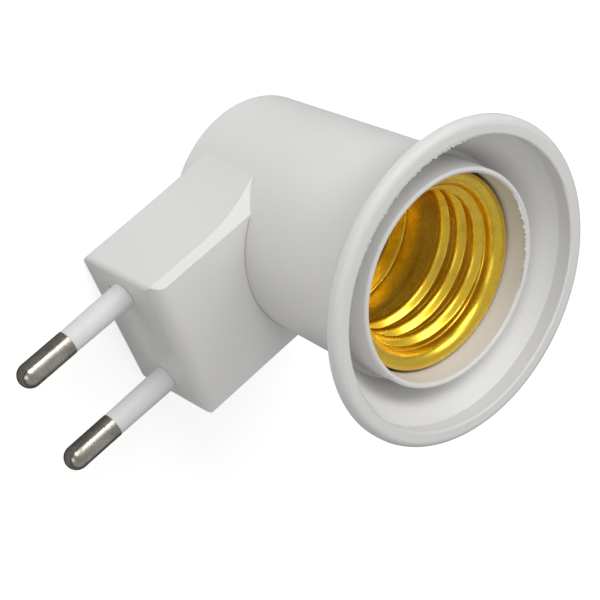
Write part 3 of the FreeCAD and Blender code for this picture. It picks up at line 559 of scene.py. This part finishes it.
def metal_finish(name, shade, stain, gloss, lines, mottle, relief, coat=0.0, edge_tint=1.0, pins=False):
    finish, tree, shader, where = blank_finish(name)
    if pins:
        where = round_pins(tree, where)
    look = placed(tree, "drawn_lines", Place=where, Colour=toned(shade), Stain=toned(stain), Lines=lines,
                  Gloss=gloss, Mottle=mottle)
    mask = placed(tree, "dust", Place=where, Amount=DUST_AMOUNT)["Mask"]
    wire(tree, look["Colour"], shader.inputs["Base Color"])
    rough = sums(tree, "MULTIPLY_ADD", mask, DUST_ROUGHNESS, look["Roughness"], clamp=True)
    wire(tree, rough, shader.inputs["Roughness"])
    wire(tree, sums(tree, "MULTIPLY_ADD", mask, DUST_METAL, 1.0, clamp=True), shader.inputs["Metallic"])
    relief_on(tree, shader, look["Height"], relief)
    shader.inputs["Specular Tint"].default_value = (edge_tint, edge_tint, edge_tint, 1.0)
    shader.inputs["Coat Weight"].default_value = coat
    shader.inputs["Coat Roughness"].default_value = 0.1
    shader.inputs["Coat IOR"].default_value = 1.7
    return finish


def make_finishes(shades):
    return {
        "shell_plastic": plastic_finish(
            "moulded_white_plastic", shades.white, gloss=0.30, peel=1.0, grime=0.25, marks=SHADE_AND_SPECK_MARKS),
        "sleeve_plastic": plastic_finish(
            "white_sleeve_plastic", shades.sleeve, gloss=0.36, peel=0.6, grime=0.35),
        "base_plastic": plastic_finish(
            "cream_base_plastic", shades.base, gloss=0.52, peel=1.6, grime=0.6),
        "shell_brass": metal_finish(
            "drawn_yellow_brass", shades.shell, stain=(0.72, 0.40, 0.01), gloss=0.27, lines=0.8,
            mottle=0.45, relief=0.004 * MM, coat=0.6),
        "rivet_brass": metal_finish(
            "turned_brass", shades.rivet, stain=(0.48, 0.30, 0.12), gloss=0.30, lines=0.6,
            mottle=0.45, relief=0.01 * MM),
        "strap_brass": metal_finish(
            "stamped_brass", shades.strap, stain=(0.42, 0.25, 0.10), gloss=0.36, lines=0.2,
            mottle=0.6, relief=0.01 * MM),
        "pin_nickel": metal_finish(
            "dull_nickel", shades.nickel, stain=(0.26, 0.23, 0.19), gloss=0.19, lines=0.5,
            mottle=0.9, relief=0.03 * MM, edge_tint=0.2, pins=True),
        "screw_steel": metal_finish(
            "zinc_steel", shades.steel, stain=(0.34, 0.31, 0.26), gloss=0.32, lines=0.3,
            mottle=0.5, relief=0.01 * MM),
    }


FINISHES = {}
PLAIN_NODES = {
    "shell_plastic": ("housing", "rear_cover"),
    "sleeve_plastic": ("pin_sleeve_left", "pin_sleeve_right"),
    "base_plastic": ("contact_base", "pin_carrier"),
    "shell_brass": ("screw_shell",),
    "rivet_brass": ("shell_rivet_left", "shell_rivet_right", "contact_rivet", "contact_button",
                    "contact_spring"),
    "strap_brass": ("live_strap", "neutral_strap"),
    "pin_nickel": ("pin_left", "pin_right"),
    "screw_steel": ("cover_screw_front", "cover_screw_rear", "base_screw_front", "base_screw_rear"),
}


class ADAPTER_OT_finishes(bpy.types.Operator):
    """Make the plastics and metals and give every carried-over part its own"""
    bl_idname = "adapter.finishes"
    bl_label = "Plastics and metals"

    def execute(self, context):
        FINISHES.update(make_finishes(context.scene.adapter_colours))
        for slot, names in PLAIN_NODES.items():
            for name in names:
                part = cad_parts[name]
                for held in part.material_slots:
                    held.material = FINISHES[slot]
                if not part.material_slots:
                    part.data.materials.append(FINISHES[slot])
        return {"FINISHED"}


SHELL_SEGMENTS = 224
THREAD_FIRST, THREAD_LAST, THREAD_END_FADE = -0.55, 2.75, 0.4


class ADAPTER_OT_screw_shell(bpy.types.Operator):
    """Draw the brass screw shell: floor, neck, rolled thread, flare and turned-down rim"""
    bl_idname = "adapter.screw_shell"
    bl_label = "Threaded screw shell"

    def execute(self, context):
        s = context.scene.adapter_shell
        corner = s.neck_radius - s.corner_radius
        thread_top = s.wall_top - s.land
        flare = s.flare_radius
        rings = [(s.hole_radius, s.floor_height)]
        rings += even_rings(rings[-1], (corner, s.floor_height), COARSE)
        rings += bow(corner, s.floor_height + s.corner_radius, s.corner_radius,
                     first=-90, last=0, steps=8)[1:]
        rings += even_rings(rings[-1], (s.neck_radius, s.neck_top), COARSE)
        rings += even_rings(rings[-1], (s.wall_radius, s.wall_foot), CLOSE)
        rings += even_rings(rings[-1], (s.wall_radius, thread_top), FINE)
        rings += even_rings(rings[-1], (s.land_radius, thread_top + FINE), FINE)
        rings += even_rings(rings[-1], (s.land_radius, s.wall_top), FINE)
        rings += bow(s.land_radius + flare, s.wall_top, flare, first=180, last=90, steps=12)[1:]
        bead = s.rim_radius - rings[-1][0]
        rings += bow(rings[-1][0], rings[-1][1] - bead, bead, first=90, last=0, steps=6)[1:]
        rings += even_rings(rings[-1], (s.rim_radius, s.wall_top + flare - s.rim_drop), MIDDLE)
        shell = turned("screw_shell_threaded", rings, SHELL_SEGMENTS, closed=False)
        ridge = Ridge(s.thread_start, s.pitch, s.thread_depth, s.thread_half,
                      THREAD_FIRST, THREAD_LAST, THREAD_END_FADE)
        press_thread(shell, ridge, s.wall_foot, thread_top, inward=True, soft=s.thread_fade)
        finish_with(shell, "SOLIDIFY", thickness=s.sheet, offset=1.0, use_even_offset=False)
        smooth(shell, 40)
        give(shell, "shell_brass", "screw_shell")
        return {"FINISHED"}


# Torn flash: its radii and heights, first and last angle, reach in millimetres, and the seed of its tears
Flash = namedtuple("Flash", "name rings first last reach seed")
FLASHES = (
    Flash("collar_flash", ((16.40, 45.00), (16.16, 45.05), (15.92, 45.07), (15.68, 45.05)),
          first=44, last=104, reach=0.66, seed=3),
    Flash("lip_flash", ((23.06, 48.06), (22.82, 48.09), (22.60, 48.08), (22.38, 48.04)),
          first=150, last=226, reach=0.52, seed=8),
)
FLASH_SEGMENTS = 1800
FLASH_SHEET = 0.07 * MM
FLASH_ROOT = 0.4
TEAR_DRAWS = 400
TEARS_PER_DEGREE = 2.2
TEAR_LEAST, TEAR_VARIES = 0.25, 0.75
FRAYS_PER_TEAR, FRAY_STRIDE = 5, 7
FRAY_DEPTH, FRAY_LIFT = 0.18, 0.2
FLASH_END_RISE = 3


# Thin ragged fin inside a round edge, which tears back towards its root
def torn_edge(flash):
    rings = [(radius * MM, height * MM) for radius, height in flash.rings]
    fin = turned(flash.name, rings, FLASH_SEGMENTS, closed=False)
    editing("VERT", "DESELECT")
    bpy.ops.object.mode_set(mode="OBJECT")
    for vertex in fin.data.vertices:
        vertex.select = not flash.first <= angle_round(vertex.co) <= flash.last
    bpy.ops.object.mode_set(mode="EDIT")
    bpy.ops.mesh.delete(type="VERT")
    bpy.ops.object.mode_set(mode="OBJECT")
    draw = random.Random(flash.seed)
    tears = [draw.random() for _ in range(TEAR_DRAWS)]
    root, edge = rings[0][0], rings[-1][0]
    reach = flash.reach * MM
    middle, half = (flash.first + flash.last) / 2, (flash.last - flash.first) / 2
    for vertex in fin.data.vertices:
        radius = math.hypot(vertex.co.x, vertex.co.y)
        inward = (root - radius) / (root - edge)
        if inward < FLASH_ROOT:
            continue
        angle = angle_round(vertex.co)
        along = (angle - flash.first) * TEARS_PER_DEGREE
        low = int(along)
        here, after = tears[low % TEAR_DRAWS], tears[(low + 1) % TEAR_DRAWS]
        tear = here + (after - here) * ease(along - low)
        fray = tears[(low * FRAY_STRIDE + int(along * FRAYS_PER_TEAR)) % TEAR_DRAWS]
        ends = ease((1 - abs(angle - middle) / half) * FLASH_END_RISE)
        left = ends * (TEAR_LEAST + TEAR_VARIES * tear * tear + FRAY_DEPTH * fray)
        set_radius(vertex.co, radius + reach * (1 - left) * inward)
        vertex.co.z += reach * FRAY_LIFT * (fray - 0.5) * inward
    finish_with(fin, "SOLIDIFY", thickness=FLASH_SHEET, offset=0.0)
    smooth(fin, 50)
    return fin


class ADAPTER_OT_flash(bpy.types.Operator):
    """Leave the torn moulding flash along the collar's edge and the lip's edge"""
    bl_idname = "adapter.flash"
    bl_label = "Moulding flash"

    def execute(self, context):
        for flash in FLASHES:
            give(torn_edge(flash), "shell_plastic")
        return {"FINISHED"}


# Places along X where the leaf bends, in millimetres: at its foot, on its slope and at its top
LEAF_FOOT = (-7.8, -7.2)
LEAF_SLOPE = (-6.8, -3.4)
LEAF_TOP = (-2.9, -2.0, 2.0)
LEAF_STRIPS = 8


class ADAPTER_OT_contact_leaf(bpy.types.Operator):
    """Fold the springy centre contact leaf from a strip"""
    bl_idname = "adapter.contact_leaf"
    bl_label = "Contact leaf"

    def execute(self, context):
        c = context.scene.adapter_contacts
        low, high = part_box("contact_spring")
        foot, top = low[2] + c.leaf_sheet, high[2]
        half = (high[1] - low[1]) / 2
        path = [(low[0] + c.leaf_edge, foot)]
        path += [(x * MM, foot) for x in LEAF_FOOT]
        path += [(LEAF_SLOPE[0] * MM, foot + c.leaf_bend), (LEAF_SLOPE[1] * MM, top - c.leaf_bend)]
        path += [(x * MM, top) for x in LEAF_TOP]
        path += [(high[0] - c.leaf_edge, top)]
        nothing_selected()
        bpy.ops.mesh.primitive_plane_add(size=1, location=(0, 0, 0))
        leaf = bpy.context.object
        leaf.name = "contact_leaf"
        editing("VERT", "SELECT")
        bpy.ops.mesh.merge(type="CENTER")
        bpy.ops.transform.translate(value=(path[0][0], -half, path[0][1]))
        for before, after in zip(path, path[1:]):
            bpy.ops.mesh.extrude_vertices_move(
                TRANSFORM_OT_translate={"value": (after[0] - before[0], 0, after[1] - before[1])})
        bpy.ops.mesh.select_all(action="SELECT")
        for _ in range(LEAF_STRIPS):
            bpy.ops.mesh.extrude_edges_move(
                TRANSFORM_OT_translate={"value": (0, half * 2 / LEAF_STRIPS, 0)})
        faces_outwards()
        if sum(face.normal.z for face in leaf.data.polygons) < 0:
            leaf.data.flip_normals()
        finish_with(leaf, "SOLIDIFY", thickness=c.leaf_sheet, offset=-1.0)
        finish_with(leaf, "BEVEL", width=c.leaf_edge, segments=2, limit_method="ANGLE",
                    angle_limit=math.radians(60))
        smooth(leaf, 30)
        give(leaf, "rivet_brass", "contact_spring")
        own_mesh(leaf)
        return {"FINISHED"}


# Screw sizes: its crown is a share of the head's height, and shares below are of the shank or the head
Screw = namedtuple("Screw", "shank head tall slot_depth crown")
DOMED, FLAT = 0.45, 0.12
SCREW_SEGMENTS = 48
SCREW_POINT = 0.08 * MM
SCREW_TIP, SCREW_TAPER, SCREW_CORE = 0.55, 0.5, 0.86
HEAD_FOOT, HEAD_CENTRE = 0.96, 0.03
SCREW_CROWN_ANGLES = (20, 40, 58, 74, 84)
SCREW_CORE_END, SCREW_NECK, SCREW_HEAD_EDGE = 0.6 * MM, 0.3 * MM, 0.1 * MM
RIDGE_DEPTH, RIDGE_HALF, RIDGE_FADE = 0.14, 0.45, 0.8
RIDGE_LAST, RIDGE_TOP = 0.8 * MM, 0.5 * MM
CUTTER_ACROSS, CUTTER_TALL = 2.6, 3


# Screw that points down Z with its head's top at nought
def make_screw(name, screw, reach, pitch, slot_width):
    shank, head, tall = screw.shank, screw.head, screw.tall
    core, crown = shank * SCREW_CORE, tall * screw.crown
    tip = -reach + shank * SCREW_TAPER
    rings = [(SCREW_POINT, -reach), (shank * SCREW_TIP, tip), (core, -reach + shank)]
    rings += even_rings(rings[-1], (core, -tall - SCREW_CORE_END), pitch / 6)
    rings += [(shank, -tall - SCREW_NECK), (shank, -tall), (head * HEAD_FOOT, -tall)]
    rings += [(head, -tall + SCREW_HEAD_EDGE), (head, -crown)]
    rings += crown_points(head, -crown, crown, SCREW_CROWN_ANGLES)
    rings += [(head * HEAD_CENTRE, 0.0)]
    piece = turned(name, rings, SCREW_SEGMENTS)
    ridge = Ridge(-reach, pitch, shank * RIDGE_DEPTH, pitch * RIDGE_HALF,
                  0.0, (reach - tall - RIDGE_LAST) / pitch, RIDGE_FADE)
    press_thread(piece, ridge, tip, -tall - RIDGE_TOP, inward=False)
    nothing_selected()
    bpy.ops.mesh.primitive_cube_add(size=1, location=(0, 0, screw.slot_depth * 0.5))
    cutter = bpy.context.object
    cutter.scale = (head * CUTTER_ACROSS, slot_width, screw.slot_depth * CUTTER_TALL)
    bpy.ops.object.transform_apply(location=True, rotation=True, scale=True)
    finish_with(piece, "BOOLEAN", operation="DIFFERENCE", object=cutter, solver="EXACT")
    bpy.data.objects.remove(cutter, do_unlink=True)
    smooth(piece, 35)
    return piece


class ADAPTER_OT_screws(bpy.types.Operator):
    """Turn the cover screws and the base screws with their threads and slots"""
    bl_idname = "adapter.screws"
    bl_label = "Screws"

    def execute(self, context):
        f = context.scene.adapter_fasteners
        base = Screw(f.base_screw_radius, f.base_screw_head, f.base_screw_tall, f.base_screw_slot, DOMED)
        cover = Screw(f.cover_screw_radius, f.cover_screw_head, f.cover_screw_tall, f.cover_screw_slot, FLAT)
        for name, screw, turn, flipped in (
                ("base_screw_front", base, 0.5, False), ("base_screw_rear", base, -0.9, False),
                ("cover_screw_front", cover, 0.35, True), ("cover_screw_rear", cover, 1.2, True)):
            low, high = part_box(name)
            piece = make_screw(name + "_slotted", screw, high[2] - low[2], f.screw_pitch, f.slot_width)
            head_height = low[2] if flipped else high[2]
            moved(piece, ((low[0] + high[0]) / 2, (low[1] + high[1]) / 2, head_height),
                  (math.pi if flipped else 0, 0, turn))
            give(piece, "screw_steel", name)
        return {"FINISHED"}


# Edge at a sleeve's tip: how far each ring stands inside the tip's radius, and its distance from the end
SLEEVE_EDGE = ((0.12, 0.0), (0.03, 0.05), (0.0, 0.14))
SLEEVE_STEP, SLEEVE_SHOULDER = 0.8 * MM, 0.2 * MM
SLEEVE_SEGMENTS = 72


class ADAPTER_OT_sleeves(bpy.types.Operator):
    """Mould the insulating sleeves, a little thicker towards the plug block"""
    bl_idname = "adapter.sleeves"
    bl_label = "Pin sleeves"

    def execute(self, context):
        c = context.scene.adapter_contacts
        for side in ("left", "right"):
            low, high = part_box("pin_sleeve_" + side)
            run = high[1] - low[1]
            shown = -c.block_reach - low[1]
            rings = [(c.sleeve_bore, 0.0)]
            rings += [(c.sleeve_tip_radius - inside * MM, height * MM) for inside, height in SLEEVE_EDGE]
            rings += even_rings(rings[-1], (c.sleeve_root_radius, shown), SLEEVE_STEP)
            rings += [(c.sleeve_hidden, shown + SLEEVE_SHOULDER), (c.sleeve_hidden, run)]
            rings += [(c.sleeve_bore, run)]
            sleeve = turned("sleeve_" + side, rings, SLEEVE_SEGMENTS, closed=False)
            only(sleeve)
            editing("EDGE", "DESELECT")
            bpy.ops.mesh.select_non_manifold()
            bpy.ops.mesh.bridge_edge_loops()
            faces_outwards()
            moved(sleeve, ((low[0] + high[0]) / 2, low[1], (low[2] + high[2]) / 2), (-math.pi / 2, 0, 0))
            smooth(sleeve, 40)
            give(sleeve, "sleeve_plastic", "pin_sleeve_" + side)
        return {"FINISHED"}


# Rings of a rivet: the share of the head's radius, and millimetres from the foot or down from the top
RIVET_CENTRE = 0.2 * MM
RIVET_FOOT = ((0.7, 0.0), (0.93, 0.1), (1.0, 0.28), (1.0, 0.48))
RIVET_DIMPLE = ((0.33, 0.04), (0.24, 0.18), (0.05, 0.24))
RIVET_UNDER_HEAD, RIVET_SHOULDER = 0.58 * MM, 0.54 * MM
RIVET_CROWN_ANGLES = (20, 40, 56, 66)
RIVET_SEGMENTS = 48


class ADAPTER_OT_rivets(bpy.types.Operator):
    """Set the rivets with upset heads and a small dimple"""
    bl_idname = "adapter.rivets"
    bl_label = "Rivets"

    def execute(self, context):
        f = context.scene.adapter_fasteners
        for name in ("shell_rivet_left", "shell_rivet_right", "contact_rivet"):
            low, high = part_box(name)
            head = (high[0] - low[0]) / 2
            tall = high[2] - low[2]
            crown_foot = tall - f.rivet_crown
            rings = [(RIVET_CENTRE, 0.0)]
            rings += [(head * part, height * MM) for part, height in RIVET_FOOT]
            rings += [(f.rivet_shank, RIVET_UNDER_HEAD), (f.rivet_shank, tall - RIVET_UNDER_HEAD)]
            rings += [(head, tall - RIVET_SHOULDER), (head, crown_foot)]
            rings += crown_points(head, crown_foot, f.rivet_crown, RIVET_CROWN_ANGLES)
            rings += [(head * part, tall - depth * MM) for part, depth in RIVET_DIMPLE]
            rivet = turned(name + "_set", rings, RIVET_SEGMENTS)
            moved(rivet, ((low[0] + high[0]) / 2, (low[1] + high[1]) / 2, low[2]))
            smooth(rivet, 35)
            give(rivet, "rivet_brass", name)
        return {"FINISHED"}


# Floor: just under the part, clear from below and within a hair's breadth of where a ray starts
FLOOR_DROP = 0.02 * MM
FLOOR_CLEAR = 0.2 * MM
FLOOR_GRAIN = 900.0
FLOOR_TONES = (0.86, 0.86, 0.86, 1), (0.9, 0.9, 0.9, 1)
# Grey the floor shows only to glossy rays: a painted darker reflection of the floor in the metals and the
# gloss
FLOOR_REFLECTION_SHADE = (0.3, 0.3, 0.3, 1)
FLOOR_GLOW = 0.55
WHITE = (1, 1, 1, 1)
ROOM_LOW, ROOM_HIGH = (0.10, 0.098, 0.095, 1), (1.0, 0.995, 0.985, 1)
ROOM_RISE = 0.55
LIGHTS = (
    ("key_light", (-0.88, 0.05, 0.48), 2.26, "key_power"),
    ("front_light", (-0.65, 0.65, 0.75), 2.1, "fill_power"),
    ("pin_light", (-0.45, -0.85, 0.45), 0.6, "fill_power"),
)
LIGHT_DISTANCE, LIGHT_SIZE = 0.9, 0.5
LIGHT_AIM = (0, -0.01, 0.025)
CAMERA_PLACE = (-0.186805, -0.125794, 0.232384)
CAMERA_TURN = (-24.5747, -40.8818, 65.7745)
CAMERA_LENS, CAMERA_SENSOR = 119.544, 36.0
CAMERA_NEAR, CAMERA_FAR = 0.01, 10.0


class ADAPTER_OT_studio(bpy.types.Operator):
    """Set the pale floor, the soft lights and the camera"""
    bl_idname = "adapter.studio"
    bl_label = "Floor, lights and camera"

    def execute(self, context):
        settings = context.scene.adapter_studio
        self.floor(settings.floor_reach * 2)
        self.room(context.scene, settings.sky)
        for name, way, power, dial in LIGHTS:
            self.lamp(context.scene, name, way, power * getattr(settings, dial))
        self.camera(context.scene)
        context.scene.view_settings.view_transform = "Standard"
        context.scene.view_settings.look = "None"
        return {"FINISHED"}

    def floor(self, width):
        nothing_selected()
        bpy.ops.mesh.primitive_plane_add(size=1, location=(0, 0, -FLOOR_DROP))
        floor = bpy.context.object
        floor.name = "studio_floor"
        floor.scale = (width, width, 1)
        bpy.ops.object.transform_apply(location=True, rotation=True, scale=True)
        paper, tree, shader, where = blank_finish("floor_paper")
        path = node(tree, "ShaderNodeLightPath").outputs
        white = blended(tree, cloud(tree, where, FLOOR_GRAIN, detail=3.0), *FLOOR_TONES)
        # Glossy rays see the floor grey, a painted darker reflection
        seen = blended(tree, path["Is Glossy Ray"], white, FLOOR_REFLECTION_SHADE)
        wire(tree, seen, shader.inputs["Base Color"])
        shader.inputs["Roughness"].default_value = 0.9
        shader.inputs["Specular IOR Level"].default_value = 0.1
        shader.inputs["Emission Color"].default_value = WHITE
        glow = sums(tree, "MULTIPLY", path["Is Camera Ray"], FLOOR_GLOW)
        wire(tree, glow, shader.inputs["Emission Strength"])
        below = node(tree, "ShaderNodeNewGeometry").outputs["Backfacing"]
        touching = sums(tree, "LESS_THAN", path["Ray Length"], FLOOR_CLEAR)
        one_sided = node(tree, "ShaderNodeMixShader")
        wire(tree, sums(tree, "MAXIMUM", below, touching), one_sided.inputs[0])
        wire(tree, shader.outputs[0], one_sided.inputs[1])
        wire(tree, node(tree, "ShaderNodeBsdfTransparent").outputs[0], one_sided.inputs[2])
        wire(tree, one_sided.outputs[0], tree.nodes["Material Output"].inputs["Surface"])
        floor.data.materials.append(paper)

    def room(self, scene, strength):
        world = bpy.data.worlds.new("studio_room")
        scene.world = world
        world.use_nodes = True
        tree = world.node_tree
        sky = tree.nodes["Background"]
        height = axes(tree, node(tree, "ShaderNodeTexCoord").outputs["Generated"])["Z"]
        rise = ranged(tree, sums(tree, "ABSOLUTE", height), 0.0, ROOM_RISE, smooth_ends=True)
        shade = blended(tree, rise, ROOM_LOW, ROOM_HIGH)
        seen = node(tree, "ShaderNodeLightPath").outputs["Is Camera Ray"]
        wire(tree, blended(tree, seen, shade, WHITE), sky.inputs["Color"])
        wire(tree, ranged(tree, seen, 0.0, 1.0, strength, 1.0), sky.inputs["Strength"])

    def lamp(self, scene, name, way, power):
        light = bpy.data.lights.new(name, "AREA")
        light.shape = "DISK"
        light.size = LIGHT_SIZE
        light.energy = power
        lamp = bpy.data.objects.new(name, light)
        scene.collection.objects.link(lamp)
        toward = Vector(way).normalized()
        lamp.location = toward * LIGHT_DISTANCE + Vector(LIGHT_AIM)
        lamp.rotation_euler = toward.to_track_quat("Z", "Y").to_euler()

    def camera(self, scene):
        camera = bpy.data.cameras.new("studio_camera")
        camera.sensor_width = CAMERA_SENSOR
        camera.lens = CAMERA_LENS
        camera.clip_start = CAMERA_NEAR
        camera.clip_end = CAMERA_FAR
        viewer = bpy.data.objects.new("studio_camera", camera)
        scene.collection.objects.link(viewer)
        viewer.location = CAMERA_PLACE
        viewer.rotation_euler = Euler([math.radians(angle) for angle in CAMERA_TURN])
        scene.camera = viewer


class ADAPTER_PT_maker(bpy.types.Panel):
    """Steps that dress the adapter"""
    bl_label = "Lamp socket adapter"
    bl_idname = "ADAPTER_PT_maker"
    bl_space_type = "VIEW_3D"
    bl_region_type = "UI"
    bl_category = "Adapter"

    def draw(self, context):
        for step in STEPS:
            self.layout.operator(step.bl_idname)


STEPS = (
    ADAPTER_OT_finishes,
    ADAPTER_OT_screw_shell,
    ADAPTER_OT_contact_leaf,
    ADAPTER_OT_screws,
    ADAPTER_OT_sleeves,
    ADAPTER_OT_rivets,
    ADAPTER_OT_flash,
    ADAPTER_OT_studio,
)
GROUPS = {
    "adapter_shell": ShellSizes,
    "adapter_fasteners": FastenerSizes,
    "adapter_contacts": ContactSizes,
    "adapter_colours": FinishColours,
    "adapter_studio": StudioSettings,
}


def register():
    for group in GROUPS.values():
        bpy.utils.register_class(group)
    for step in STEPS + (ADAPTER_PT_maker,):
        bpy.utils.register_class(step)
    for name, group in GROUPS.items():
        setattr(bpy.types.Scene, name, bpy.props.PointerProperty(type=group))


def unregister():
    for name in GROUPS:
        delattr(bpy.types.Scene, name)
    for step in (ADAPTER_PT_maker,) + STEPS:
        bpy.utils.unregister_class(step)
    for group in GROUPS.values():
        bpy.utils.unregister_class(group)


def main():
    register()
    bpy.ops.adapter.finishes()
    bpy.ops.adapter.screw_shell()
    bpy.ops.adapter.contact_leaf()
    bpy.ops.adapter.screws()
    bpy.ops.adapter.sleeves()
    bpy.ops.adapter.rivets()
    bpy.ops.adapter.flash()
    bpy.ops.adapter.studio()


if __name__ == "__main__":
    main()
